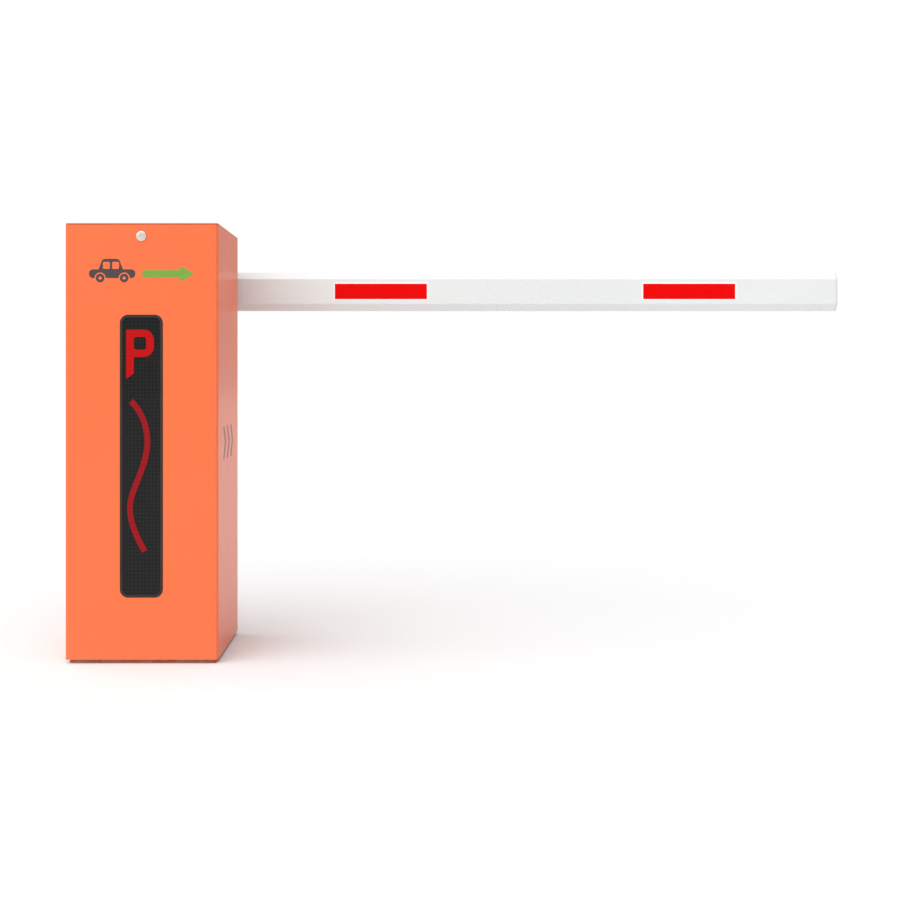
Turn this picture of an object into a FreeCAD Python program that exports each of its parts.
"""Parking barrier gate: a folded steel cabinet with a tilting front door, a crank-driven
main shaft with balance springs, and a straight octagonal boom carried behind the cabinet.

Frame: origin at the centre of the base on the ground, +X towards the boom's tip,
-Y out of the door, +Z up. All sizes are in millimetres. The boom is modelled closed.
"""
import FreeCAD, Part
import math
import os

# ---- cabinet -------------------------------------------------------------------------
cabinet_width = 350.0
cabinet_depth = 300.0
cabinet_height = 1010.0
sheet = 2.0
front_bend = 6.0
rear_bend = 4.0
door_return = 14.0
door_gap = 1.5
top_gap = 1.0
frame_lip = 18.0
header_lip = 14.0
sill_lip = 27.0
cover_rim = 15.0
floor_lip = 26.0
top_lip = 22.0
cover_screw_inset = 12.0
cover_screw_r = 2.5
cover_screw_head_r = 5.5
seal_width = 8.0

# ---- base ----------------------------------------------------------------------------
base_thickness = 8.5
base_inset = 8.0
anchor_spacing_x = 260.0
anchor_spacing_y = 210.0
anchor_hole_r = 9.0
cable_entry_x = 120.0
cable_entry_y = 80.0
cable_entry_centre_y = -60.0

# ---- display on the door -------------------------------------------------------------
window_width = 98.5
window_height = 648.0
window_bottom = 152.0
window_corner = 19.0
gasket_rim = 6.5
gasket_overlap = 3.0
gasket_proud = 1.0
pane_thickness = 3.0
pane_recess = 0.5
display_depth = 43.0
display_wall = 2.5
display_margin = 6.0
display_corner = 8.0
led_board_depth = 20.0
led_board_thickness = 1.6
led_r = 2.5
symbol_height = 113.0
symbol_width = 64.0
symbol_stem = 18.0
symbol_bar = 17.0
symbol_bowl = 63.0
symbol_bowl_r = 24.0
symbol_counter_r = 6.0
symbol_foot_rise = 12.0
symbol_below_window_top = 34.0
symbol_shift = -3.0
lens_thickness = 1.2
flow_width = 13.5
flow_below_symbol = 51.0
flow_above_window_bottom = 106.0
# The flow line's bends: sideways place, and height as a share of the line's own height.
flow_bends = ((-24.0, 1.0), (4.0, 0.88), (14.0, 0.73), (-5.0, 0.5), (-26.0, 0.29),
              (-13.0, 0.12), (8.0, 0.0))

# ---- door lock and hinge -------------------------------------------------------------
lock_drop = 30.0
lock_head_r = 11.5
lock_body_r = 9.0
lock_barrel_r = 7.0
lock_head_proud = 2.5
lock_tail = 5.0
cam_thickness = 3.0
cam_length = 22.0
hinge_pin_r = 2.5
hinge_span = 240.0
hinge_height = 13.0
hinge_eye_wall = 1.5
hinge_eye_width = 20.0
hinge_lug = 3.0

# ---- boom ----------------------------------------------------------------------------
boom_tip_x = 1730.0
boom_root_x = -90.0
boom_height = 100.0
boom_thickness = 45.0
boom_flat = 65.0
boom_top_flat = 21.0
boom_wall = 2.5
boom_front_y = 210.0
strip_length = 240.0
strip_height = 40.0
strip_centres = (539.0, 1343.0)
strip_thickness = 0.5
cap_plate = 3.0
cap_plug = 18.0
clamp_thickness = 10.0
clamp_x0 = -75.0
clamp_x1 = 120.0
clamp_bolt_xs = (-50.0, 95.0)
clamp_bolt = 12.0
clamp_bolt_above = 10.0
clamp_edge_above = 22.0

# ---- main shaft and linkage ----------------------------------------------------------
shaft_z = 878.0
shaft_r = 17.5
crank_radius = 80.0
linkage_height = 330.0
lever_thickness = 18.0
lever_half_width = 14.0
hub_r = 30.0
pin_r = 8.0
pin_collar = 2.0
pin_collar_r = 11.0
rod_r = 7.0
running_gap = 0.05
bearing_outer_r = 36.0
bearing_width = 18.0
housing_size = 110.0
housing_bolt_spacing = 84.0
housing_flange = 12.0
housing_depth = 30.0
housing_corner = 14.0
flange_thickness = 6.0
seal_wall = 6.0
limit_cam_r = 28.0
limit_lobe_r = 36.0
buffer_height = 10.0
buffer_r = 9.0
buffer_reach = 65.0
stop_half_span = 15.0

# ---- mechanism plate -----------------------------------------------------------------
plate_y = 0.0
plate_thickness = 8.0
plate_width = 250.0
plate_top = 960.0
foot_depth = 45.0
frame_bolt = 10.0
frame_hole_r = 5.25

# ---- gearbox and motor ---------------------------------------------------------------
tooth_module = 2.0
wheel_teeth = 40
worm_pitch_r = 11.0
wheel_face = 8.0
gearbox_wall = 7.0
gearbox_depth = 112.0
output_shaft_r = 15.0
motor_r = 50.0
motor_length = 150.0
fan_cover_length = 28.0
worm_journal_r = 8.0
hand_wheel_r = 42.0
hand_wheel_z_above = 86.0

# ---- springs -------------------------------------------------------------------------
spring_mean_r = 13.0
spring_wire_r = 2.5
spring_pitch = 14.0
spring_gap = 2.0
anchor_z = 100.0
hook_length = 30.0
eye_above_anchor = 50.0
adjuster_r = 5.0
anchor_thickness = 6.0

# ---- controller, rail and breaker -----------------------------------------------------
controller_x0 = -2.0
controller_x1 = 112.0
controller_z0 = 180.0
controller_z1 = 420.0
controller_depth = 62.0
controller_wall = 2.5
controller_corner = 6.0
controller_standoff = 6.0
cover_thickness = 5.0
gland_pitch = 30.0
gland_r = 8.0
rail_x0 = 6.0
rail_x1 = 108.0
rail_z = 104.0
rail_depth = 7.5
rail_sheet = 1.2
breaker_width = 36.0

# ---- clearances ----------------------------------------------------------------------
clear = 0.3
loose = 1.0

# ---- derived places ------------------------------------------------------------------
half_width = cabinet_width / 2
front_y = -cabinet_depth / 2
rear_y = cabinet_depth / 2
body_front_y = front_y + door_return + door_gap
door_bottom = base_thickness + top_gap
door_top = cabinet_height - sheet - top_gap
cover_z = cabinet_height - sheet
lock_z = cabinet_height - lock_drop
plate_back_y = plate_y + plate_thickness
gear_z = shaft_z - linkage_height
window_top = window_bottom + window_height
symbol_bottom = window_top - symbol_below_window_top - symbol_height
lever_front_y = plate_y - 34.0
lever_back_y = lever_front_y + lever_thickness
rod_y = lever_front_y - 12.5
pin_drop = crank_radius * math.sqrt(0.5)
boom_mid_y = boom_front_y + boom_thickness / 2
boom_back_y = boom_front_y + boom_thickness
wheel_y = plate_back_y + 60.0
wheel_pitch_r = tooth_module * wheel_teeth / 2
worm_x = wheel_pitch_r + worm_pitch_r
gearbox_half_height = wheel_pitch_r + 16.0
spring_outer_r = spring_mean_r + spring_wire_r
spring_first_y = lever_front_y - clear - spring_outer_r
spring_second_y = spring_first_y - 2 * spring_outer_r - spring_gap
spring_top_z = shaft_z + pin_drop


def vec(x, y, z):
    return FreeCAD.Vector(x, y, z)


def box(x0, x1, y0, y1, z0, z1):
    return Part.makeBox(x1 - x0, y1 - y0, z1 - z0, vec(x0, y0, z0))


def cyl_x(radius, x0, x1, y, z):
    return Part.makeCylinder(radius, x1 - x0, vec(x0, y, z), vec(1, 0, 0))


def cyl_y(radius, y0, y1, x, z):
    return Part.makeCylinder(radius, y1 - y0, vec(x, y0, z), vec(0, 1, 0))


def cyl_z(radius, z0, z1, x, y):
    return Part.makeCylinder(radius, z1 - z0, vec(x, y, z0), vec(0, 0, 1))


def plate_xz(points, y0, y1):
    """Extrude a polygon of (x, z) points from y0 to y1."""
    corners = [vec(x, y0, z) for x, z in points]
    face = Part.Face(Part.makePolygon(corners + corners[:1]))
    return face.extrude(vec(0, y1 - y0, 0))


def fuse(first, *others):
    result = first
    for other in others:
        result = result.fuse(other)
    return result.removeSplitter()


def cut(first, *others):
    result = first
    for other in others:
        result = result.cut(other)
    return result


def round_edges(shape, radius, pick):
    """Fillet the edges whose midpoint and direction pick() accepts."""
    chosen = []
    for edge in shape.Edges:
        middle = edge.valueAt((edge.FirstParameter + edge.LastParameter) / 2)
        along = edge.tangentAt((edge.FirstParameter + edge.LastParameter) / 2)
        if pick(middle, along):
            chosen.append(edge)
    return shape.makeFillet(radius, chosen) if chosen else shape


def rounded_box_y(x0, x1, y0, y1, z0, z1, radius):
    """A box with its four edges along Y rounded."""
    return round_edges(box(x0, x1, y0, y1, z0, z1), radius, lambda m, t: abs(t.y) > 0.99)


def rounded_box_z(x0, x1, y0, y1, z0, z1, radius):
    """A box with its four edges along Z rounded."""
    return round_edges(box(x0, x1, y0, y1, z0, z1), radius, lambda m, t: abs(t.z) > 0.99)


def hex_prism_y(across, y0, y1, x, z):
    reach = across / math.sqrt(3)
    points = [(x + reach * math.cos(math.radians(60 * k + 30)),
               z + reach * math.sin(math.radians(60 * k + 30))) for k in range(6)]
    return plate_xz(points, y0, y1)


def hex_prism_z(across, z0, z1, x, y):
    reach = across / math.sqrt(3)
    corners = [vec(x + reach * math.cos(math.radians(60 * k)),
                   y + reach * math.sin(math.radians(60 * k)), z0) for k in range(6)]
    return Part.Face(Part.makePolygon(corners + corners[:1])).extrude(vec(0, 0, z1 - z0))


def bolt_y(size, x, z, head_y, end_y):
    """A hex bolt along Y, its head's bearing face at head_y and its end at end_y."""
    away = -1 if end_y > head_y else 1
    head_end = head_y + away * size * 0.65
    head = hex_prism_y(size * 1.6, min(head_y, head_end), max(head_y, head_end), x, z)
    shank = cyl_y(size / 2, min(head_y, end_y), max(head_y, end_y), x, z)
    return fuse(head, shank)


def grid(spacing_a, spacing_b):
    """The four corners of a rectangle centred on zero."""
    return [(a * spacing_a / 2, b * spacing_b / 2) for a in (-1, 1) for b in (-1, 1)]


def angle_point(centre_x, centre_z, radius, degrees):
    turn = math.radians(degrees)
    return centre_x + radius * math.cos(turn), centre_z + radius * math.sin(turn)


# ---- base and cabinet ----------------------------------------------------------------

def make_base_plate():
    x1 = half_width - base_inset
    y1 = rear_y - base_inset
    plate = rounded_box_z(-x1, x1, -y1, y1, 0, base_thickness, 4.0)
    for x, y in grid(anchor_spacing_x, anchor_spacing_y):
        plate = plate.cut(cyl_z(anchor_hole_r, -1, base_thickness + 1, x, y))
    y0 = cable_entry_centre_y - cable_entry_y / 2
    entry = rounded_box_z(-cable_entry_x / 2, cable_entry_x / 2, y0, y0 + cable_entry_y,
                          -1, base_thickness + 1, 10.0)
    return plate.cut(entry)


def make_cabinet_body():
    inner = half_width - sheet
    outside = box(-half_width, half_width, body_front_y, rear_y, base_thickness, cover_z)
    outside = round_edges(outside, rear_bend,
                          lambda m, t: abs(t.z) > 0.99 and m.y > 0)
    inside = box(-inner, inner, body_front_y + sheet, rear_y - sheet,
                 base_thickness + sheet, cover_z - sheet)
    inside = round_edges(inside, rear_bend - sheet, lambda m, t: abs(t.z) > 0.99 and m.y > 0)
    doorway = box(-half_width + frame_lip, half_width - frame_lip, body_front_y - 1,
                  body_front_y + sheet + 1, base_thickness + sill_lip, cover_z - header_lip)
    floor_hole = box(-half_width + floor_lip, half_width - floor_lip, body_front_y + floor_lip,
                     rear_y - floor_lip, base_thickness - 1, base_thickness + sheet + 1)
    top_hole = box(-half_width + top_lip, half_width - top_lip, body_front_y + top_lip,
                   rear_y - top_lip, cover_z - sheet - 1, cover_z + 1)
    body = cut(outside, inside, doorway, floor_hole, top_hole)
    body = body.cut(cyl_y(shaft_r + seal_wall, rear_y - 10, rear_y + 10, 0, shaft_z))
    for x, z in grid(housing_bolt_spacing, housing_bolt_spacing):
        body = body.cut(cyl_y(frame_hole_r, rear_y - 10, rear_y + 10, x, shaft_z + z))
    for x, y in cover_screw_places():
        body = body.cut(cyl_z(cover_screw_r + 0.25, cover_z - sheet - 1, cover_z + 1, x, y))
    for x, y in grid(anchor_spacing_x, anchor_spacing_y):
        body = body.cut(cyl_z(anchor_hole_r + 7, base_thickness - 1,
                              base_thickness + sheet + 1, x, y))
    return body


def cover_screw_places():
    x = half_width - cover_screw_inset
    return [(side * x, y) for side in (-1, 1)
            for y in (body_front_y + cover_screw_inset, rear_y - cover_screw_inset)]


def screw_cone(x, y):
    """A countersunk head, level with the top of the cover."""
    return Part.makeCone(cover_screw_head_r - sheet, cover_screw_head_r, sheet,
                         vec(x, y, cover_z))


def make_top_cover():
    cover = box(-half_width, half_width, front_y, rear_y, cover_z, cabinet_height)
    cover = round_edges(cover, front_bend, lambda m, t: abs(t.z) > 0.99 and m.y < 0)
    cover = round_edges(cover, rear_bend, lambda m, t: abs(t.z) > 0.99 and m.y > 0)
    rim_inset = top_lip + loose
    rim = box(-half_width + rim_inset, half_width - rim_inset, body_front_y + rim_inset,
              rear_y - rim_inset, cover_z - cover_rim, cover_z)
    hollow = box(-half_width + rim_inset + sheet, half_width - rim_inset - sheet,
                 body_front_y + rim_inset + sheet, rear_y - rim_inset - sheet,
                 cover_z - cover_rim - 1, cover_z)
    cover = fuse(cover, rim.cut(hollow))
    for x, y in cover_screw_places():
        cover = cover.cut(cyl_z(cover_screw_r + 0.25, cover_z - 1, cabinet_height + 1, x, y))
        cover = cover.cut(screw_cone(x, y))
    return cover


def make_top_cover_screws():
    screws = []
    for x, y in cover_screw_places():
        head = screw_cone(x, y)
        socket = hex_prism_z(3.0, cabinet_height - 1.5, cabinet_height + 1, x, y)
        shank = cyl_z(cover_screw_r, cover_z - 12, cover_z + 1, x, y)
        screws.append(fuse(head, shank).cut(socket))
    return Part.makeCompound(screws)


def make_door_seal():
    """A rubber frame on the doorway's lip that the closed door's skin meets."""
    x1 = half_width - frame_lip + 11.0
    z0 = base_thickness + sill_lip - 11.0
    z1 = cover_z - header_lip + 10.0
    front = front_y + sheet + clear
    ring = rounded_box_y(-x1, x1, front, body_front_y, z0, z1, 10.0)
    hole = rounded_box_y(-x1 + seal_width, x1 - seal_width, front - 1, body_front_y + 1,
                         z0 + seal_width, z1 - seal_width, 3.0)
    return ring.cut(hole)


# ---- door, display, lock and hinge ---------------------------------------------------

def make_front_door():
    skin = box(-half_width, half_width, front_y, front_y + door_return, door_bottom, door_top)
    skin = round_edges(skin, front_bend, lambda m, t: abs(t.z) > 0.99 and m.y < front_y + 1)
    hollow = box(-half_width + sheet, half_width - sheet, front_y + sheet,
                 front_y + door_return + 1, door_bottom + sheet, door_top - sheet)
    hollow = round_edges(hollow, front_bend - sheet,
                         lambda m, t: abs(t.z) > 0.99 and m.y < front_y + sheet + 1)
    skin = skin.cut(hollow)
    x1 = window_width / 2 - gasket_overlap
    opening = rounded_box_y(-x1, x1, front_y - 1, front_y + sheet + 1,
                            window_bottom + gasket_overlap, window_top - gasket_overlap,
                            window_corner - gasket_overlap)
    for x in hinge_xs():
        notch = hinge_lug_x() + hinge_lug + loose
        skin = skin.cut(box(x - notch, x + notch, front_y + sheet, front_y + door_return + 1,
                            door_bottom - 1, door_bottom + sheet + 1))
    return cut(skin, opening, cyl_y(lock_body_r, front_y - 1, front_y + sheet + 1, 0, lock_z))


def make_door_stiffeners():
    """Two hat sections spot-welded behind the skin, one each side of the display."""
    sections = []
    height = door_return - sheet - 2.0
    for side in (-1, 1):
        x = side * 108.0
        y0 = front_y + sheet
        hat = box(x - 9, x + 9, y0, y0 + height, 70.0, lock_z - 30.0)
        hat = fuse(hat, box(x - 19, x + 19, y0, y0 + 1.5, 70.0, lock_z - 30.0))
        sections.append(hat.cut(box(x - 7.5, x + 7.5, y0 - 1, y0 + height - 1.5, 60, lock_z)))
    return Part.makeCompound(sections)


def make_display_gasket():
    x1 = window_width / 2
    flange = rounded_box_y(-x1, x1, front_y - gasket_proud, front_y, window_bottom,
                           window_top, window_corner)
    x2 = x1 - gasket_overlap
    neck = rounded_box_y(-x2, x2, front_y, front_y + sheet + 2.0,
                         window_bottom + gasket_overlap, window_top - gasket_overlap,
                         window_corner - gasket_overlap)
    ring = fuse(flange, neck)
    x3 = x1 - gasket_rim
    hole = rounded_box_y(-x3, x3, front_y - gasket_proud - 1, front_y + sheet + 3,
                         window_bottom + gasket_rim, window_top - gasket_rim,
                         window_corner - gasket_rim)
    return ring.cut(hole)


def make_display_window():
    x1 = window_width / 2 - gasket_rim
    pane_front = front_y + pane_recess
    return rounded_box_y(-x1, x1, pane_front, pane_front + pane_thickness,
                         window_bottom + gasket_rim, window_top - gasket_rim,
                         window_corner - gasket_rim)


def display_box_sides():
    """Half the display box's width, and its bottom and top."""
    return (window_width / 2 + display_margin, window_bottom - display_margin,
            window_top + display_margin)


def make_display_housing():
    """A moulded tray behind the pane, open to the front, with posts for the LED board."""
    x1, z0, z1 = display_box_sides()
    y0 = front_y + sheet
    y1 = y0 + display_depth
    tray = rounded_box_y(-x1, x1, y0, y1, z0, z1, display_corner)
    hollow = rounded_box_y(-x1 + display_wall, x1 - display_wall, y0 - 1, y1 - display_wall,
                           z0 + display_wall, z1 - display_wall, display_corner - display_wall)
    tray = tray.cut(hollow)
    board_back = led_board_y() + led_board_thickness
    for x in (-x1 + 12, x1 - 12):
        for z in (z0 + 12, (z0 + z1) / 2, z1 - 12):
            tray = tray.fuse(cyl_y(4.0, board_back, y1 - display_wall / 2, x, z))
    return tray.removeSplitter()


def led_board_y():
    return front_y + sheet + led_board_depth


def flow_centre_line():
    """The smooth centre line of the lit flow line, on the window's front face."""
    top = symbol_bottom - flow_below_symbol
    bottom = window_bottom + flow_above_window_bottom
    curve = Part.BSplineCurve()
    curve.interpolate([vec(x, lens_front_y(), bottom + (top - bottom) * share)
                       for x, share in flow_bends])
    return curve


def along_curve(curve, steps):
    """Evenly spaced parameters of a curve."""
    first, last = curve.FirstParameter, curve.LastParameter
    return [first + (last - first) * k / steps for k in range(steps + 1)]


def lens_front_y():
    return front_y + pane_recess - lens_thickness


def make_led_board():
    """The board with its LEDs, which stand behind the symbol and the flow line."""
    x1, z0, z1 = display_box_sides()
    y0 = led_board_y()
    x1 -= display_wall + 2.0
    board = box(-x1, x1, y0, y0 + led_board_thickness, z0 + 6.0, z1 - 6.0)
    curve = flow_centre_line()
    places = [curve.value(at) for at in along_curve(curve, 14)]
    points = [(place.x, place.z) for place in places]
    stem = symbol_left() + symbol_stem / 2
    points += [(stem, symbol_bottom + 18.0 + 22.0 * k) for k in range(4)]
    for x, z in points:
        board = board.fuse(cyl_y(led_r, y0 - 4.0, y0, x, z))
    return board.removeSplitter()


def symbol_left():
    return -symbol_width / 2 + symbol_shift


def make_parking_symbol():
    """The letter P: a straight stem with a slanted foot and a rounded bowl."""
    x0 = symbol_left()
    x1 = x0 + symbol_width
    z1 = symbol_bottom + symbol_height
    y0 = lens_front_y()
    bowl_bottom = z1 - symbol_bowl
    stem = plate_xz([(x0, symbol_bottom), (x0 + symbol_stem, symbol_bottom + symbol_foot_rise),
                     (x0 + symbol_stem, z1), (x0, z1)], y0, y0 + lens_thickness)
    bowl = rounded_box_y(x0, x1, y0, y0 + lens_thickness, bowl_bottom, z1, symbol_bowl_r)
    corner = box(x0, x0 + symbol_bowl_r, y0, y0 + lens_thickness, bowl_bottom, z1)
    hole = rounded_box_y(x0 + symbol_stem, x1 - symbol_stem, y0 - 1, y0 + lens_thickness + 1,
                         bowl_bottom + symbol_bar, z1 - symbol_bar, symbol_counter_r)
    return fuse(stem, corner, bowl).cut(hole)


def make_flow_line():
    """The lit flow line, a strip of even width along its curve."""
    curve = flow_centre_line()
    left, right = [], []
    for at in along_curve(curve, 40):
        point = curve.value(at)
        along = curve.tangent(at)[0]
        side = vec(-along.z, 0, along.x) * (flow_width / 2)
        left.append(point + side)
        right.append(point - side)
    edges = []
    for points in (left, right):
        rail = Part.BSplineCurve()
        rail.interpolate(points)
        edges.append(rail.toShape())
    ends = [Part.makeLine(left[0], right[0]), Part.makeLine(left[-1], right[-1])]
    face = Part.Face(Part.Wire(Part.__sortEdges__(edges + ends)))
    return face.extrude(vec(0, lens_thickness, 0))


def make_lock_body():
    body_end = front_y + door_return + lock_tail
    head_front = front_y - lock_head_proud
    head = cyl_y(lock_head_r, head_front, front_y, 0, lock_z)
    head = round_edges(head, 1.2, lambda m, t: m.y < head_front + 0.1)
    sleeve = cyl_y(lock_body_r, front_y, body_end, 0, lock_z)
    nut = hex_prism_y(24.0, front_y + sheet, front_y + sheet + 5.0, 0, lock_z)
    bore = cyl_y(lock_barrel_r, front_y - 5, body_end + 1, 0, lock_z)
    return fuse(head, sleeve, nut).cut(bore)


def cam_front_y():
    return front_y + door_return + lock_tail + 0.5


def make_lock_barrel():
    barrel_end = cam_front_y()
    barrel = cyl_y(lock_barrel_r - running_gap, front_y - 3.2, barrel_end, 0, lock_z)
    keyway = box(-4.5, 4.5, front_y - 4, front_y + 6, lock_z - 0.9, lock_z + 0.9)
    tail = cyl_y(3.0, barrel_end, barrel_end + 7.0, 0, lock_z)
    return fuse(barrel, tail).cut(keyway)


def make_lock_cam():
    """The cam points sideways when unlocked and up behind the doorway's lip when locked."""
    y0 = cam_front_y()
    arm = box(0, cam_length, y0, y0 + cam_thickness, lock_z - 6.5, lock_z + 6.5)
    arm = fuse(arm, cyl_y(8.0, y0, y0 + cam_thickness, 0, lock_z))
    screw = hex_prism_y(8.0, y0 + cam_thickness, y0 + 7.0, 0, lock_z)
    return fuse(arm, screw).cut(cyl_y(3.0, y0 - 1, y0 + 7.0, 0, lock_z))


def hinge_y():
    return front_y + sheet + hinge_pin_r + hinge_eye_wall + 0.5


def hinge_xs():
    return [-hinge_span / 2, hinge_span / 2]


def hinge_lug_x():
    """How far a lug's inner face stands from the middle of its hinge."""
    return hinge_eye_width / 2 + loose


def make_hinge_brackets():
    """Open saddles on the sill: the door's pins drop into them and lift out again."""
    brackets = []
    y0 = hinge_y()
    half = hinge_eye_width / 2
    eye_r = hinge_pin_r + hinge_eye_wall
    foot_top = base_thickness + sill_lip - 13.0
    for x in hinge_xs():
        eye = cyl_x(eye_r, x - half, x + half, y0, hinge_height)
        arm = box(x - half, x + half, y0, body_front_y, hinge_height - eye_r, hinge_height + 1.0)
        foot = box(x - half, x + half, body_front_y - 2.0, body_front_y, hinge_height - eye_r,
                   foot_top)
        slot = box(x - half - 1, x + half + 1, y0 - hinge_pin_r - running_gap,
                   y0 + hinge_pin_r + running_gap, hinge_height, hinge_height + 20)
        bore = cyl_x(hinge_pin_r + running_gap, x - half - 1, x + half + 1, y0, hinge_height)
        brackets.append(cut(fuse(eye, arm, foot), slot, bore))
    return Part.makeCompound(brackets)


def make_hinge_pins():
    """Pins between two lugs each, welded to the foot of the door."""
    pins = []
    y0 = hinge_y()
    reach = hinge_lug_x() + hinge_lug
    half_height = hinge_pin_r + hinge_eye_wall
    for x in hinge_xs():
        pin = cyl_x(hinge_pin_r, x - reach, x + reach, y0, hinge_height)
        for end in (x - reach, x + hinge_lug_x()):
            lug = box(end, end + hinge_lug, front_y + sheet, y0 + half_height,
                      hinge_height - half_height, hinge_height + half_height)
            pin = pin.fuse(lug)
        pins.append(pin.removeSplitter())
    return Part.makeCompound(pins)


# ---- mechanism plate and bearings ----------------------------------------------------

def make_mechanism_plate():
    x1 = plate_width / 2
    foot_top = base_thickness + plate_thickness
    plate = box(-x1, x1, plate_y, plate_back_y, base_thickness, plate_top)
    foot = box(-x1, x1, plate_y, plate_y + foot_depth, base_thickness, foot_top)
    plate = fuse(plate, foot)
    for side in (-1, 1):
        x = side * (x1 - plate_thickness / 2)
        web = Part.makePolygon([vec(x - plate_thickness / 2, plate_back_y, foot_top),
                                vec(x - plate_thickness / 2, plate_y + foot_depth, foot_top),
                                vec(x - plate_thickness / 2, plate_back_y, foot_top + 120),
                                vec(x - plate_thickness / 2, plate_back_y, foot_top)])
        plate = plate.fuse(Part.Face(web).extrude(vec(plate_thickness, 0, 0)))
    plate = plate.removeSplitter()
    plate = plate.cut(cyl_y(shaft_r + 4, plate_y - 1, plate_back_y + 1, 0, shaft_z))
    plate = plate.cut(cyl_y(output_shaft_r + 5, plate_y - 1, plate_back_y + 1, 0, gear_z))
    reach = hand_wheel_r + 4.0
    wheel_z = gear_z + hand_wheel_z_above
    window = rounded_box_y(worm_x - reach, worm_x + reach, plate_y - 1, plate_back_y + 1,
                           wheel_z - 24, wheel_z + 36, 8.0)
    plate = plate.cut(window)
    for x, z in bearing_bolt_places() + gearbox_bolt_places() + stop_bolt_places():
        plate = plate.cut(cyl_y(frame_hole_r, plate_y - 1, plate_back_y + 1, x, z))
    for x in foot_bolt_xs():
        plate = plate.cut(cyl_z(frame_hole_r, base_thickness - 1, foot_top + 1, x, foot_bolt_y()))
    return plate


def foot_bolt_xs():
    return [-plate_width / 2 + 25.0, plate_width / 2 - 25.0]


def foot_bolt_y():
    return plate_y + foot_depth - 16.0


def bearing_bolt_places():
    return [(x, shaft_z + z) for x, z in grid(housing_bolt_spacing, housing_bolt_spacing)]


def gearbox_bolt_places():
    height = 2 * gearbox_half_height - 2 * gearbox_wall - 6.0
    return [(x - 40.0 if x < 0 else x - 10.0, gear_z + z) for x, z in grid(20.0, height)]


def stop_bolt_places():
    return [(side * 24.0, shaft_z - 86.0) for side in (-1, 1)]


def bearing_housing(face_y, away):
    """A square flanged housing whose mounting face is at face_y."""
    y1 = face_y + away * housing_flange
    y2 = face_y + away * housing_depth
    half = housing_size / 2
    flange = rounded_box_y(-half, half, min(face_y, y1), max(face_y, y1), shaft_z - half,
                           shaft_z + half, housing_corner)
    boss = cyl_y(bearing_outer_r + 6.0, min(face_y, y2), max(face_y, y2), 0, shaft_z)
    bore_start = min(face_y, y2) - 1
    bore = cyl_y(bearing_outer_r, bore_start, bore_start + housing_depth + 2, 0, shaft_z)
    housing = fuse(flange, boss).cut(bore)
    for x, z in bearing_bolt_places():
        housing = housing.cut(cyl_y(frame_hole_r, min(face_y, y1) - 1, max(face_y, y1) + 1, x, z))
    return housing


def make_bearing_housings():
    front = bearing_housing(plate_back_y, 1)
    rear = bearing_housing(rear_y - sheet, -1)
    return Part.makeCompound([front, rear])


def bearing_ring(y0):
    """An insert bearing: an outer ring, a shielded ball space and an inner ring."""
    ring = cyl_y(bearing_outer_r, y0, y0 + bearing_width, 0, shaft_z)
    bore = cyl_y(shaft_r + running_gap, y0 - 1, y0 + bearing_width + 1, 0, shaft_z)
    groove = cyl_y(29.0, y0 - 1, y0 + 2.0, 0, shaft_z).cut(
        cyl_y(23.5, y0 - 1, y0 + 2.0, 0, shaft_z))
    back_groove = groove.translated(vec(0, bearing_width - 1.0, 0))
    return cut(ring, bore, groove, back_groove)


def make_shaft_bearings():
    inset = (housing_depth - bearing_width) / 2
    front = bearing_ring(plate_back_y + inset)
    rear = bearing_ring(rear_y - sheet - housing_depth + inset)
    return Part.makeCompound([front, rear])


def make_shaft_flange():
    """The outside plate that spreads the rear bearing's load over the sheet."""
    half = housing_size / 2
    back = rear_y + flange_thickness
    plate = rounded_box_y(-half, half, rear_y, back, shaft_z - half, shaft_z + half,
                          housing_corner)
    plate = plate.cut(cyl_y(shaft_r + seal_wall, rear_y - 1, back + 1, 0, shaft_z))
    for x, z in bearing_bolt_places():
        plate = plate.cut(cyl_y(frame_hole_r, rear_y - 1, back + 1, x, z))
    return plate


def make_shaft_seal():
    y0 = rear_y - sheet
    ring = cyl_y(shaft_r + seal_wall, y0, rear_y + flange_thickness + 1.5, 0, shaft_z)
    return ring.cut(cyl_y(shaft_r + running_gap, y0 - 1, rear_y + 9, 0, shaft_z))


def make_frame_bolts():
    """M10 bolts of both bearing housings, the gearbox, the stop bracket and the foot."""
    bolts = []
    for x, z in bearing_bolt_places():
        bolts.append(bolt_y(frame_bolt, x, z, plate_y, plate_back_y + housing_flange + 12.0))
        bolts.append(bolt_y(frame_bolt, x, z, rear_y + flange_thickness,
                            rear_y - sheet - housing_flange - 12.0))
    for x, z in gearbox_bolt_places():
        bolts.append(bolt_y(frame_bolt, x, z, plate_y, plate_back_y + 18.0))
    for x, z in stop_bolt_places():
        bolts.append(bolt_y(frame_bolt, x, z, plate_back_y, plate_y - 16.0))
    for x in foot_bolt_xs():
        top = base_thickness + plate_thickness
        head = hex_prism_z(16.0, top, top + 6.5, x, foot_bolt_y())
        bolts.append(fuse(head, cyl_z(frame_bolt / 2, base_thickness, top, x, foot_bolt_y())))
    return Part.makeCompound(bolts)


# ---- main shaft, lever and boom ------------------------------------------------------

def hub_front_y():
    return rear_y + 10.0


def make_main_shaft():
    y0 = lever_front_y - 2.0
    shaft = cyl_y(shaft_r, y0, boom_front_y - 1.0, 0, shaft_z)
    shoulder = cyl_y(shaft_r + 4.0, plate_back_y + housing_depth + 2.0,
                     rear_y - sheet - housing_depth - 2.0, 0, shaft_z)
    shaft = fuse(shaft, shoulder)
    return cut(shaft, *[key_box(y_from, y_to) for y_from, y_to in key_spans()])


def key_spans():
    return [(lever_front_y + 2.0, lever_back_y - 2.0), (hub_front_y() + 5, boom_front_y - 15)]


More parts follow.
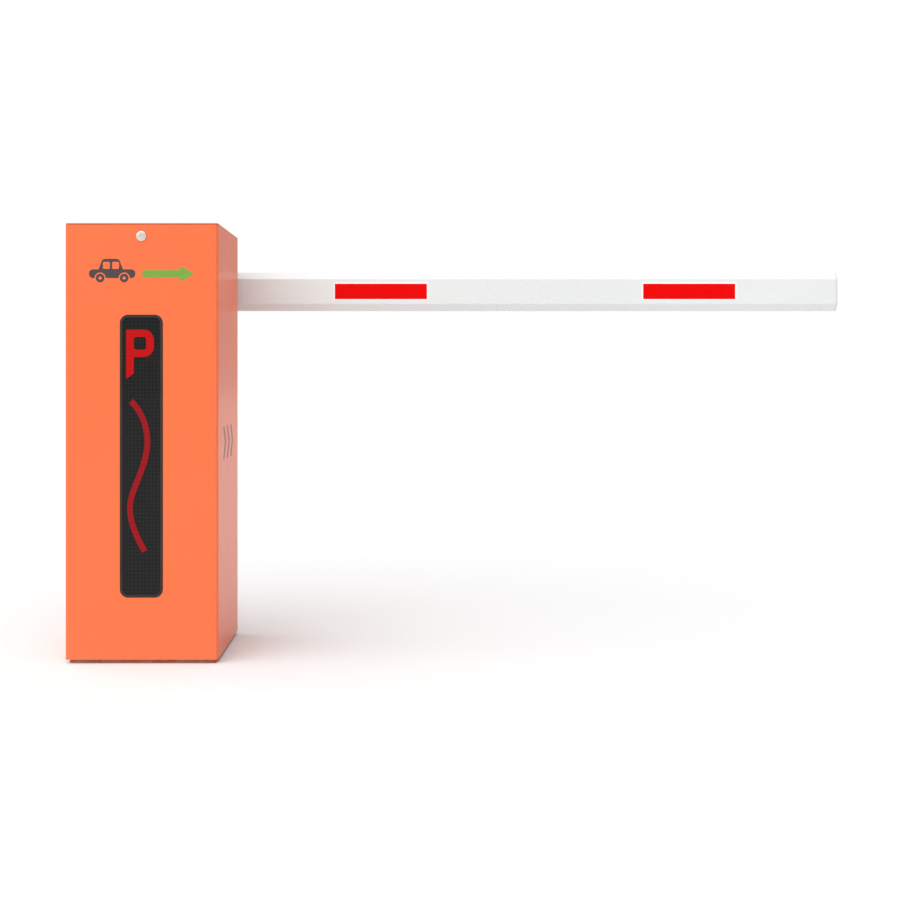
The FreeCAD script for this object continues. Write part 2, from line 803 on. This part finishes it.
def key_box(y0, y1):
    return box(-5.0, 5.0, y0, y1, shaft_z + shaft_r - 5.0, shaft_z + shaft_r + 3.0)


def make_shaft_keys():
    return Part.makeCompound([key_box(y0, y1) for y0, y1 in key_spans()])


def lever_outline(centre_z, angles, radius):
    """A lever from the hub at centre_z to a pin boss at each angle."""
    body = cyl_y(hub_r, lever_front_y, lever_back_y, 0, centre_z)
    for angle in angles:
        x, z = angle_point(0, centre_z, radius, angle)
        dx = x / radius * lever_half_width
        dz = (z - centre_z) / radius * lever_half_width
        points = [(-dz, centre_z + dx), (dz, centre_z - dx), (x + dz, z - dx),
                  (x - dz, z + dx)]
        arm = plate_xz(points, lever_front_y, lever_back_y)
        boss = cyl_y(lever_half_width, lever_front_y, lever_back_y, x, z)
        body = fuse(body, arm, boss)
    return body


def lever_pin(centre_z, angle, front):
    x, z = angle_point(0, centre_z, crank_radius, angle)
    return cyl_y(pin_r, front, lever_back_y + pin_collar, x, z), (x, z)


def back_collar(x, z):
    return cyl_y(pin_collar_r, lever_back_y, lever_back_y + pin_collar, x, z)


def make_rocker_lever():
    lever = lever_outline(shaft_z, (-45, 135), crank_radius)
    lever = lever.cut(cyl_y(shaft_r, lever_front_y - 1, lever_back_y + 1, 0, shaft_z))
    lever = lever.cut(key_box(lever_front_y - 1, lever_back_y + 1))
    for angle in (-45, 135):
        x, z = angle_point(0, shaft_z, crank_radius, angle)
        lever = lever.cut(cyl_y(pin_r, lever_front_y - 1, lever_back_y + 1, x, z))
    return lever


def make_rocker_pins():
    """The rod's pin and the longer springs' pin, each with a retaining collar."""
    rod_pin, (x, z) = lever_pin(shaft_z, -45, rod_y - 12.0)
    rod_pin = fuse(rod_pin, cyl_y(pin_collar_r, rod_y - 12.0, rod_y - 8.0, x, z),
                   back_collar(x, z))
    spring_pin, (x, z) = lever_pin(shaft_z, 135, spring_second_y - 8.0)
    spring_pin = fuse(spring_pin,
                      cyl_y(pin_collar_r, spring_second_y - 8.0, spring_second_y - 5.0, x, z),
                      back_collar(x, z))
    return Part.makeCompound([rod_pin, spring_pin])


def boom_section(height, thickness, flat, top_flat, x):
    """The octagon of the boom at x, as a wire in the YZ plane."""
    corners = [(thickness / 2, flat / 2), (top_flat / 2, height / 2)]
    outline = corners + [(-y, z) for y, z in reversed(corners)]
    outline += [(-y, -z) for y, z in corners] + [(y, -z) for y, z in reversed(corners)]
    points = [vec(x, boom_mid_y + y, shaft_z + z) for y, z in outline]
    return Part.makePolygon(points + points[:1])


def boom_solid(inset, x0, x1):
    """The boom's octagon with its sides moved in by inset, from x0 to x1."""
    slope = math.atan2((boom_height - boom_flat) / 2, (boom_thickness - boom_top_flat) / 2)
    flat = boom_flat - 2 * inset * math.tan(math.pi / 4 - slope / 2)
    top_flat = boom_top_flat - 2 * inset * math.tan(slope / 2)
    wire = boom_section(boom_height - 2 * inset, boom_thickness - 2 * inset, flat, top_flat,
                        x0)
    return Part.Face(wire).extrude(vec(x1 - x0, 0, 0))


def make_boom():
    outer = boom_solid(0.0, boom_root_x + cap_plate, boom_tip_x - cap_plate)
    return outer.cut(boom_solid(boom_wall, boom_root_x, boom_tip_x))


def make_boom_end_caps():
    tip = fuse(boom_solid(0.0, boom_tip_x - cap_plate, boom_tip_x),
               boom_solid(boom_wall, boom_tip_x - cap_plug, boom_tip_x - cap_plate))
    root = fuse(boom_solid(0.0, boom_root_x, boom_root_x + cap_plate),
                boom_solid(boom_wall, boom_root_x + cap_plate, boom_root_x + cap_plug))
    return Part.makeCompound([tip, root])


def clamp_half_height():
    return boom_height / 2 + clamp_edge_above


def clamp_bolt_z():
    return boom_height / 2 + clamp_bolt_above


def clamp_plate(y0):
    reach = clamp_half_height()
    plate = rounded_box_y(clamp_x0, clamp_x1, y0, y0 + clamp_thickness, shaft_z - reach,
                          shaft_z + reach, 8.0)
    for x in clamp_bolt_xs:
        for side in (-1, 1):
            plate = plate.cut(cyl_y(clamp_bolt / 2 + 0.25, y0 - 1, y0 + clamp_thickness + 1, x,
                                    shaft_z + side * clamp_bolt_z()))
    return plate


def make_arm_hub():
    """The keyed hub that carries the boom: a boss on the shaft and the front clamp plate."""
    plate_front = boom_front_y - clamp_thickness
    boss = cyl_y(hub_r + 4, hub_front_y(), plate_front, 0, shaft_z)
    hub = fuse(boss, clamp_plate(plate_front))
    for side in (-1, 1):
        rib = plate_xz([(side * hub_r, shaft_z - 6), (side * hub_r, shaft_z + 6),
                        (side * 62, shaft_z + 6), (side * 62, shaft_z - 6)],
                       plate_front - 16, plate_front)
        hub = hub.fuse(rib)
    hub = hub.removeSplitter()
    hub = hub.cut(cyl_y(shaft_r, hub_front_y() - 1, boom_front_y - 1.0, 0, shaft_z))
    return hub.cut(key_box(hub_front_y() - 1, boom_front_y - 15))


def make_boom_clamp():
    return clamp_plate(boom_back_y)


def make_boom_bolts():
    """M12 bolts above and below the boom, each with its nut on the rear plate."""
    bolts = []
    front = boom_front_y - clamp_thickness
    back = boom_back_y + clamp_thickness
    for x in clamp_bolt_xs:
        for side in (-1, 1):
            z = shaft_z + side * clamp_bolt_z()
            bolt = bolt_y(clamp_bolt, x, z, front, back + 16.0)
            bolts.append(bolt.fuse(hex_prism_y(19.0, back, back + 10.0, x, z)))
    return Part.makeCompound(bolts)


def make_reflective_strips():
    strips = []
    for x in strip_centres:
        for y0 in (boom_front_y - strip_thickness, boom_back_y):
            strips.append(box(x - strip_length / 2, x + strip_length / 2, y0,
                              y0 + strip_thickness, shaft_z - strip_height / 2,
                              shaft_z + strip_height / 2))
    return Part.makeCompound(strips)


def make_limit_cam():
    y0 = lever_back_y + 4.0
    y1 = plate_y - 4.0
    disc = cyl_y(limit_cam_r, y0, y1, 0, shaft_z)
    lobe_top = shaft_z + limit_lobe_r + 2.0
    lobe = plate_xz([(-14, shaft_z), (14, shaft_z), (7, lobe_top), (-7, lobe_top)], y0, y1)
    cam = fuse(disc, lobe.common(cyl_y(limit_lobe_r, y0, y1, 0, shaft_z)))
    return cam.cut(cyl_y(shaft_r, y0 - 1, y1 + 1, 0, shaft_z))


def make_limit_switches():
    """One switch above the shaft for closed and one to its left for open."""
    y0 = lever_back_y + 2.5
    tip = limit_lobe_r + clear
    closed = fuse(box(-16, 16, y0, plate_y, shaft_z + tip + 8, shaft_z + tip + 34),
                  box(-4, 4, y0 + 2, plate_y - 3, shaft_z + tip, shaft_z + tip + 9))
    opened = fuse(box(-tip - 34, -tip - 8, y0, plate_y, shaft_z - 16, shaft_z + 16),
                  box(-tip - 9, -tip, y0 + 2, plate_y - 3, shaft_z - 4, shaft_z + 4))
    return Part.makeCompound([closed, opened])


def stop_directions(side):
    """Unit vectors along the lever and square to it, for the stop on that side."""
    root = math.sqrt(0.5)
    return (side * root, -root), (-side * root, -root)


def stop_point(side, along, out):
    (ax, az), (nx, nz) = stop_directions(side)
    return ax * along + nx * out, shaft_z + az * along + nz * out


def make_stop_bracket():
    out = lever_half_width + clear + buffer_height
    inner = buffer_reach - stop_half_span
    outer = buffer_reach + stop_half_span
    foot_z = stop_point(1, outer, out)[1] - 24.0
    points = [stop_point(-1, inner, out), stop_point(1, inner, out),
              stop_point(1, outer, out), (stop_point(1, outer, out)[0], foot_z),
              (stop_point(-1, outer, out)[0], foot_z), stop_point(-1, outer, out)]
    bracket = plate_xz(points, lever_front_y + 2.0, plate_y)
    for x, z in stop_bolt_places():
        bracket = bracket.cut(cyl_y(5.0, plate_y - 17.0, plate_y + 1, x, z))
    return bracket


def make_rubber_buffers():
    buffers = []
    middle = (lever_front_y + lever_back_y) / 2
    for side in (-1, 1):
        normal = stop_directions(side)[1]
        x, z = stop_point(side, buffer_reach, lever_half_width + clear)
        buffers.append(Part.makeCylinder(buffer_r, buffer_height, vec(x, middle, z),
                                         vec(normal[0], 0, normal[1])))
    return Part.makeCompound(buffers)


# ---- crank, connecting rod, gearbox and motor ----------------------------------------

def make_output_shaft():
    return cyl_y(output_shaft_r, lever_front_y - 2.0, plate_back_y + gearbox_depth - 6, 0,
                 gear_z)


def make_crank_arm():
    arm = lever_outline(gear_z, (-45,), crank_radius)
    x, z = angle_point(0, gear_z, crank_radius, -45)
    return cut(arm, cyl_y(output_shaft_r, lever_front_y - 1, lever_back_y + 1, 0, gear_z),
               cyl_y(pin_r, lever_front_y - 1, lever_back_y + 1, x, z))


def make_crank_pin():
    pin, (x, z) = lever_pin(gear_z, -45, rod_y - 12.0)
    return fuse(pin, cyl_y(pin_collar_r, rod_y - 12.0, rod_y - 8.0, x, z), back_collar(x, z))


def rod_ends_z():
    return gear_z - pin_drop, shaft_z - pin_drop


def make_rod_ends():
    """Two rod-end eyes with threaded sockets that face each other."""
    ends = []
    low, high = rod_ends_z()
    for z, towards in ((low, 1), (high, -1)):
        eye = cyl_y(17.0, rod_y - 7.0, rod_y + 7.0, pin_drop, z)
        z_far = z + towards * 55.0
        z_root = z + towards * (pin_r + 5.0)
        socket = cyl_z(rod_r + 4.0, min(z_root, z_far), max(z_root, z_far), pin_drop, rod_y)
        end = fuse(eye, socket)
        end = end.cut(cyl_y(pin_r + running_gap, rod_y - 8.0, rod_y + 8.0, pin_drop, z))
        z_near = z + towards * 25.0
        z_out = z + towards * 56.0
        end = end.cut(cyl_z(rod_r, min(z_near, z_out), max(z_near, z_out), pin_drop, rod_y))
        ends.append(end)
    return Part.makeCompound(ends)


def make_connecting_rod():
    """A threaded rod with a lock nut against each rod end."""
    low, high = rod_ends_z()
    rod = cyl_z(rod_r, low + 25.0, high - 25.0, pin_drop, rod_y)
    for z in (low + 55.0, high - 63.0):
        rod = rod.fuse(hex_prism_z(22.0, z, z + 8.0, pin_drop, rod_y))
    return rod.removeSplitter()


def wheel_tooth(angle):
    """One tooth of the worm wheel, leaning by the worm's lead angle."""
    root_r = wheel_pitch_r - 1.2 * tooth_module
    tip_r = wheel_pitch_r + tooth_module
    half_pitch = 1.15
    slope = math.tan(math.radians(20))
    root_half = half_pitch + (wheel_pitch_r - root_r) * slope
    tip_half = half_pitch - (tip_r - wheel_pitch_r) * slope
    y0 = wheel_y - wheel_face / 2
    tooth = plate_xz([(root_r - 0.8, -root_half), (tip_r, -tip_half), (tip_r, tip_half),
                      (root_r - 0.8, root_half)], y0, y0 + wheel_face)
    lead = math.degrees(math.atan(math.pi * tooth_module / (2 * math.pi * worm_pitch_r)))
    tooth.rotate(vec(0, wheel_y, 0), vec(1, 0, 0), -lead)
    tooth.rotate(vec(0, wheel_y, 0), vec(0, 1, 0), -angle)
    tooth.translate(vec(0, 0, gear_z))
    return tooth


def make_worm_wheel():
    root_r = wheel_pitch_r - 1.2 * tooth_module
    y0 = wheel_y - wheel_face / 2
    disc = cyl_y(root_r, y0, y0 + wheel_face, 0, gear_z)
    hub = cyl_y(output_shaft_r + 9, wheel_y - 14, wheel_y + 14, 0, gear_z)
    teeth = [wheel_tooth(360.0 / wheel_teeth * (k + 0.5)) for k in range(wheel_teeth)]
    wheel = disc.fuse(teeth + [hub])
    return wheel.cut(cyl_y(output_shaft_r, wheel_y - 15, wheel_y + 15, 0, gear_z))


def make_worm_shaft():
    """The motor's shaft with the worm thread cut on it, up to the hand wheel."""
    lead = math.pi * tooth_module
    turns = 7
    root_r = worm_pitch_r - 1.2 * tooth_module
    tip_r = worm_pitch_r + tooth_module
    slope = math.tan(math.radians(20))
    pitch_half = 1.25
    inner = root_r - 0.4
    inner_half = pitch_half + (worm_pitch_r - inner) * slope
    tip_half = pitch_half - (tip_r - worm_pitch_r) * slope
    helix = Part.makeHelix(lead, lead * turns, root_r)
    points = [vec(inner, 0, -inner_half), vec(tip_r, 0, -tip_half), vec(tip_r, 0, tip_half),
              vec(inner, 0, inner_half)]
    profile = Part.makePolygon(points + points[:1])
    thread = Part.Wire(helix.Edges).makePipeShell([profile], True, True)
    thread.translate(vec(0, 0, -lead * turns / 2))
    thread.translate(vec(worm_x, wheel_y, gear_z))
    low = gear_z - gearbox_half_height - 100.0
    high = gear_z + hand_wheel_z_above + 16.0
    core = cyl_z(worm_journal_r, low, high, worm_x, wheel_y)
    half = gearbox_half_height - gearbox_wall - 6.0
    worm = cyl_z(root_r, gear_z - half, gear_z + half, worm_x, wheel_y)
    return fuse(core, worm).fuse(thread)


def gearbox_sides():
    x0 = -wheel_pitch_r - tooth_module - 14.0
    x1 = worm_x + worm_pitch_r + tooth_module + 12.0
    return x0, x1


def make_gearbox_housing():
    """A cast case, open at the back, with a cavity for the wheel and one for the worm."""
    x0, x1 = gearbox_sides()
    z0 = gear_z - gearbox_half_height
    z1 = gear_z + gearbox_half_height
    y0 = plate_back_y
    y1 = y0 + gearbox_depth - 10.0
    case = rounded_box_y(x0, x1, y0, y1, z0, z1, 10.0)
    wheel_room = cyl_y(wheel_pitch_r + tooth_module + 4.0, wheel_y - 22.0, y1 + 1, 0, gear_z)
    worm_room = cyl_z(worm_pitch_r + tooth_module + 3.0, z0 + gearbox_wall,
                      z1 - gearbox_wall, worm_x, wheel_y)
    shaft_bore = cyl_y(output_shaft_r + running_gap, y0 - 1, wheel_y, 0, gear_z)
    worm_bore = cyl_z(worm_journal_r + running_gap, z0 - 1, z1 + 1, worm_x, wheel_y)
    case = cut(case, wheel_room, worm_room, shaft_bore, worm_bore)
    for x, z in gearbox_bolt_places():
        case = case.cut(cyl_y(5.0, y0 - 1, y0 + 18.0, x, z))
    for x, z in cover_bolt_places():
        case = case.cut(cyl_y(3.0, y1 - 14.0, y1 + 1, x, z))
    return case


def cover_bolt_places():
    x0, x1 = gearbox_sides()
    height = gearbox_half_height - 7.0
    return [(x, gear_z + side * height) for x in (x0 + 9, x1 - 9) for side in (-1, 1)]


def make_gearbox_cover():
    x0, x1 = gearbox_sides()
    y0 = plate_back_y + gearbox_depth - 10.0
    cover = rounded_box_y(x0, x1, y0, y0 + 8.0, gear_z - gearbox_half_height,
                          gear_z + gearbox_half_height, 10.0)
    boss = cyl_y(output_shaft_r + 8.0, y0, y0 + 12.0, 0, gear_z)
    bore = cyl_y(output_shaft_r + running_gap, y0 - 1, y0 + 8.0, 0, gear_z)
    cover = fuse(cover, boss).cut(bore)
    for x, z in cover_bolt_places():
        cover = cover.cut(cyl_y(3.25, y0 - 1, y0 + 9, x, z))
    return cover


def make_gearbox_bolts():
    y0 = plate_back_y + gearbox_depth - 2.0
    return Part.makeCompound([bolt_y(6.0, x, z, y0, y0 - 20.0)
                              for x, z in cover_bolt_places()])


def motor_top():
    return gear_z - gearbox_half_height


def make_motor_body():
    """The finned motor barrel, hung under the gearbox by its square flange."""
    top = motor_top()
    bottom = top - motor_length
    flange = rounded_box_z(worm_x - 45, worm_x + 45, wheel_y - 45, wheel_y + 45, top - 12,
                           top, 8.0)
    barrel = cyl_z(motor_r - 5.0, bottom, top, worm_x, wheel_y)
    motor = fuse(flange, barrel)
    fins = []
    for k in range(24):
        fin = box(motor_r - 8, motor_r, -1.5, 1.5, bottom + 10, top - 20)
        fin.rotate(vec(0, 0, 0), vec(0, 0, 1), 15.0 * k)
        fin.translate(vec(worm_x, wheel_y, 0))
        fins.append(fin)
    motor = motor.fuse(fins).removeSplitter()
    return motor.cut(cyl_z(worm_journal_r + 2, top - 104.0, top + 1, worm_x, wheel_y))


def make_motor_fan_cover():
    top = motor_top() - motor_length
    bottom = top - fan_cover_length
    shell = cyl_z(motor_r - 2.0, bottom, top, worm_x, wheel_y)
    shell = round_edges(shell, 5.0, lambda m, t: m.z < bottom + 0.1)
    shell = shell.cut(cyl_z(motor_r - 4.0, bottom + 2.0, top + 1, worm_x, wheel_y))
    for k in range(8):
        slot = box(14, 38, -2.0, 2.0, bottom - 1, bottom + 3)
        slot.rotate(vec(0, 0, 0), vec(0, 0, 1), 45.0 * k)
        slot.translate(vec(worm_x, wheel_y, 0))
        shell = shell.cut(slot)
    return shell


def make_hand_wheel():
    """The hand wheel for lifting the boom in a power cut."""
    z0 = gear_z + hand_wheel_z_above
    rim = Part.makeTorus(hand_wheel_r - 6.0, 6.0, vec(worm_x, wheel_y, z0))
    hub = cyl_z(14.0, z0 - 8.0, z0 + 10.0, worm_x, wheel_y)
    wheel = rim.fuse(hub)
    for k in range(4):
        spoke = box(9, hand_wheel_r - 6.0, -5, 5, z0 - 4, z0 + 4)
        spoke.rotate(vec(0, 0, 0), vec(0, 0, 1), 90.0 * k + 45.0)
        spoke.translate(vec(worm_x, wheel_y, 0))
        wheel = wheel.fuse(spoke)
    wheel = wheel.removeSplitter()
    return wheel.cut(cyl_z(worm_journal_r, z0 - 9, z0 + 11, worm_x, wheel_y))


# ---- springs -------------------------------------------------------------------------

def spring_ys():
    return (spring_first_y, spring_second_y)


def hook_ring_r():
    return pin_r + clear + spring_wire_r


def coil_ends_z():
    lower = anchor_z + eye_above_anchor + hook_length
    return lower, spring_top_z - hook_ring_r() - hook_length


def ridged_coil(y, z0, z1):
    """The coil's outer shape: a ridge for each turn on a core tube."""
    turns = int((z1 - z0) / spring_pitch)
    pitch = (z1 - z0) / turns
    x = -pin_drop
    profile = [vec(x + spring_mean_r - spring_wire_r, y, z0),
               vec(x + spring_mean_r, y, z0)]
    edges = [Part.makeLine(profile[0], profile[1])]
    for k in range(turns):
        start = vec(x + spring_mean_r, y, z0 + pitch * k)
        mid = vec(x + spring_outer_r, y, z0 + pitch * (k + 0.5))
        end = vec(x + spring_mean_r, y, z0 + pitch * (k + 1))
        edges.append(Part.Arc(start, mid, end).toShape())
    top = vec(x + spring_mean_r - spring_wire_r, y, z1)
    edges.append(Part.makeLine(vec(x + spring_mean_r, y, z1), top))
    edges.append(Part.makeLine(top, profile[0]))
    face = Part.Face(Part.Wire(edges))
    return face.revolve(vec(x, y, 0), vec(0, 0, 1), 360)


def make_balance_springs():
    """Tension springs hooked over the lever's long pin and the adjusters' eyes."""
    springs = []
    x = -pin_drop
    z0, z1 = coil_ends_z()
    eye_z = anchor_z + eye_above_anchor
    for y in spring_ys():
        coil = ridged_coil(y, z0, z1)
        for end, inner, hook_z in ((z1, -1, spring_top_z), (z0, 1, eye_z)):
            disc = cyl_z(spring_mean_r, min(end, end + inner * 4), max(end, end + inner * 4),
                         x, y)
            ring_r = hook_ring_r()
            ring = Part.makeTorus(ring_r, spring_wire_r, vec(x, y, hook_z), vec(0, 1, 0))
            reach = hook_z + inner * ring_r
            stem = cyl_z(spring_wire_r, min(end, reach), max(end, reach), x, y)
            coil = coil.fuse([disc, ring, stem])
        springs.append(coil)
    return Part.makeCompound(springs)


def make_spring_anchor_bar():
    """A bracket bolted to the plate that holds the adjusters against the springs' pull."""
    x = -pin_drop
    front = spring_second_y - 16.0
    thick = anchor_thickness
    shelf = box(x - 24, x + 24, front, plate_y, anchor_z - thick, anchor_z)
    back = box(x - 24, x + 24, plate_y - thick, plate_y, anchor_z - 50 - thick, anchor_z)
    bracket = fuse(shelf, back)
    for side in (-1, 1):
        edge = x + side * 24 if side < 0 else x + 24 - 5
        web = Part.makePolygon([vec(edge, front + 12, anchor_z - thick),
                                vec(edge, plate_y - thick, anchor_z - thick),
                                vec(edge, plate_y - thick, anchor_z - 50),
                                vec(edge, front + 12, anchor_z - thick)])
        bracket = bracket.fuse(Part.Face(web).extrude(vec(5, 0, 0)))
    bracket = bracket.removeSplitter()
    for y in spring_ys():
        bracket = bracket.cut(cyl_z(adjuster_r, anchor_z - 10, anchor_z + 1, x, y))
    return bracket


def make_spring_adjusters():
    """Eye bolts through the bracket, with a nut above and a nut below."""
    bolts = []
    x = -pin_drop
    eye_z = anchor_z + eye_above_anchor
    for y in spring_ys():
        rod = cyl_z(adjuster_r, anchor_z - 34.0, eye_z - pin_r - 10.0, x, y)
        fork = box(x - 11, x + 11, y - 12, y + 12, eye_z - 24.0, eye_z - 16.0)
        for side in (-1, 1):
            cheek = box(x - 8, x + 8, y + side * 12 - (5 if side > 0 else 0),
                        y + side * 12 + (5 if side < 0 else 0), eye_z - 18, eye_z + 9)
            fork = fork.fuse(cheek)
        bolt = fuse(rod, fork, cyl_y(pin_r, y - 12, y + 12, x, eye_z),
                    hex_prism_z(17.0, anchor_z, anchor_z + 8, x, y),
                    hex_prism_z(17.0, anchor_z - anchor_thickness - 8,
                                anchor_z - anchor_thickness, x, y))
        bolts.append(bolt)
    return Part.makeCompound(bolts)


# ---- controls ------------------------------------------------------------------------

def controller_ys():
    back = plate_y - controller_standoff
    return back - controller_depth, back


def make_controller_box():
    """The controller's moulded case, open to the front, on four feet."""
    y0, y1 = controller_ys()
    case = rounded_box_y(controller_x0, controller_x1, y0, y1, controller_z0, controller_z1,
                         controller_corner)
    wall = controller_wall
    hollow = rounded_box_y(controller_x0 + wall, controller_x1 - wall, y0 - 1, y1 - wall,
                           controller_z0 + wall, controller_z1 - wall,
                           controller_corner - wall)
    case = case.cut(hollow)
    for x in (controller_x0 + 14, controller_x1 - 14):
        for z in (controller_z0 + 14, controller_z1 - 14):
            case = case.fuse(cyl_y(6.0, y1, plate_y, x, z))
            case = case.fuse(cyl_y(3.0, y1 - 12.0, y1, x, z))
    case = case.removeSplitter()
    for x in gland_xs():
        case = case.cut(cyl_z(gland_r, controller_z0 - 1, controller_z0 + wall + 1, x,
                              (y0 + y1) / 2))
    return case


def gland_xs():
    middle = (controller_x0 + controller_x1) / 2
    return [middle + gland_pitch * k for k in (-1, 0, 1)]


def make_controller_cover():
    y0 = controller_ys()[0]
    front = y0 - cover_thickness
    cover = rounded_box_y(controller_x0, controller_x1, front, y0, controller_z0,
                          controller_z1, controller_corner)
    return round_edges(cover, 1.5, lambda m, t: m.y < front + 0.1)


def make_control_board():
    """The printed board with its relays, connectors and transformer."""
    y1 = controller_ys()[1]
    top = y1 - 12.0
    x0 = controller_x0 + 8.0
    x1 = controller_x1 - 8.0
    board = box(x0, x1, top - 1.6, top, controller_z0 + 8, controller_z1 - 8)
    front = top - 1.6
    parts = [box(x0 + 6, x0 + 46, front - 30, front, controller_z1 - 70, controller_z1 - 25)]
    for k in range(4):
        z = controller_z0 + 50 + 26 * k
        parts.append(box(x0 + 10, x0 + 30, front - 16, front, z, z + 18))
    for k in range(9):
        x = x0 + 8 + 10 * k
        parts.append(box(x, x + 8, front - 12, front, controller_z0 + 14, controller_z0 + 26))
    parts.append(box(x1 - 40, x1 - 15, front - 4, front, controller_z0 + 80,
                     controller_z0 + 105))
    return board.fuse(parts).removeSplitter()


def make_cable_glands():
    glands = []
    y0, y1 = controller_ys()
    y = (y0 + y1) / 2
    for x in gland_xs():
        body = hex_prism_z(20.0, controller_z0 - 6, controller_z0, x, y)
        neck = cyl_z(gland_r, controller_z0 - 6, controller_z0 + 8, x, y)
        nut = cyl_z(9.5, controller_z0 - 20, controller_z0 - 6, x, y)
        nut = round_edges(nut, 3.0, lambda m, t: m.z < controller_z0 - 19.9)
        bore = cyl_z(4.5, controller_z0 - 21, controller_z0 + 9, x, y)
        glands.append(fuse(body, neck, nut).cut(bore))
    return Part.makeCompound(glands)


def make_din_rail():
    """A top-hat rail, 35 mm high, screwed to the mechanism plate."""
    y0 = plate_y - rail_depth
    rail = box(rail_x0, rail_x1, plate_y - rail_sheet, plate_y, rail_z - 12.5, rail_z + 12.5)
    for side in (-1, 1):
        z_in = rail_z + side * 12.5
        z_out = rail_z + side * 17.5
        z_wall = z_in - side * rail_sheet
        wall = box(rail_x0, rail_x1, y0, plate_y, min(z_in, z_wall), max(z_in, z_wall))
        lip = box(rail_x0, rail_x1, y0, y0 + rail_sheet, min(z_in, z_out), max(z_in, z_out))
        rail = rail.fuse([wall, lip])
    return rail.removeSplitter()


def make_circuit_breaker():
    """A two-pole breaker clipped on the rail."""
    y1 = plate_y - rail_depth
    x0 = rail_x0 + 16.0
    x1 = x0 + breaker_width
    body = box(x0, x1, y1 - 44, y1, rail_z - 42, rail_z + 42)
    nose = box(x0, x1, y1 - 62, y1 - 43, rail_z - 22, rail_z + 22)
    switch = box(x0 + 6, x1 - 6, y1 - 70, y1 - 61, rail_z - 2, rail_z + 8)
    return fuse(body, nose, switch)


MAKERS = {
    "base_plate": make_base_plate, "cabinet_body": make_cabinet_body,
    "top_cover": make_top_cover, "top_cover_screws": make_top_cover_screws,
    "door_seal": make_door_seal, "front_door": make_front_door,
    "door_stiffeners": make_door_stiffeners, "display_gasket": make_display_gasket,
    "display_window": make_display_window, "display_housing": make_display_housing,
    "led_board": make_led_board, "parking_symbol": make_parking_symbol,
    "flow_line": make_flow_line, "lock_body": make_lock_body,
    "lock_barrel": make_lock_barrel, "lock_cam": make_lock_cam,
    "hinge_brackets": make_hinge_brackets,
    "hinge_pins": make_hinge_pins, "mechanism_plate": make_mechanism_plate,
    "bearing_housings": make_bearing_housings, "shaft_bearings": make_shaft_bearings,
    "shaft_flange": make_shaft_flange, "shaft_seal": make_shaft_seal,
    "frame_bolts": make_frame_bolts, "main_shaft": make_main_shaft,
    "shaft_keys": make_shaft_keys, "rocker_lever": make_rocker_lever,
    "rocker_pins": make_rocker_pins, "limit_cam": make_limit_cam,
    "arm_hub": make_arm_hub, "boom": make_boom, "boom_clamp": make_boom_clamp,
    "boom_bolts": make_boom_bolts, "boom_end_caps": make_boom_end_caps,
    "reflective_strips": make_reflective_strips, "limit_switches": make_limit_switches,
    "stop_bracket": make_stop_bracket, "rubber_buffers": make_rubber_buffers,
    "output_shaft": make_output_shaft, "crank_arm": make_crank_arm,
    "crank_pin": make_crank_pin, "connecting_rod": make_connecting_rod,
    "rod_ends": make_rod_ends, "worm_wheel": make_worm_wheel,
    "worm_shaft": make_worm_shaft, "hand_wheel": make_hand_wheel,
    "gearbox_housing": make_gearbox_housing, "gearbox_cover": make_gearbox_cover,
    "gearbox_bolts": make_gearbox_bolts, "motor_body": make_motor_body,
    "motor_fan_cover": make_motor_fan_cover,
    "balance_springs": make_balance_springs, "spring_anchor_bar": make_spring_anchor_bar,
    "spring_adjusters": make_spring_adjusters, "controller_box": make_controller_box,
    "controller_cover": make_controller_cover, "control_board": make_control_board,
    "cable_glands": make_cable_glands, "din_rail": make_din_rail,
    "circuit_breaker": make_circuit_breaker,
}


os.makedirs("parts", exist_ok=True)
for name, maker in MAKERS.items():
    shape = maker()
    shape.exportStep("parts/" + name + ".step")
    print(name, "solids", len(shape.Solids), "volume", round(shape.Volume), shape.isValid())
print("nodes", len(MAKERS))
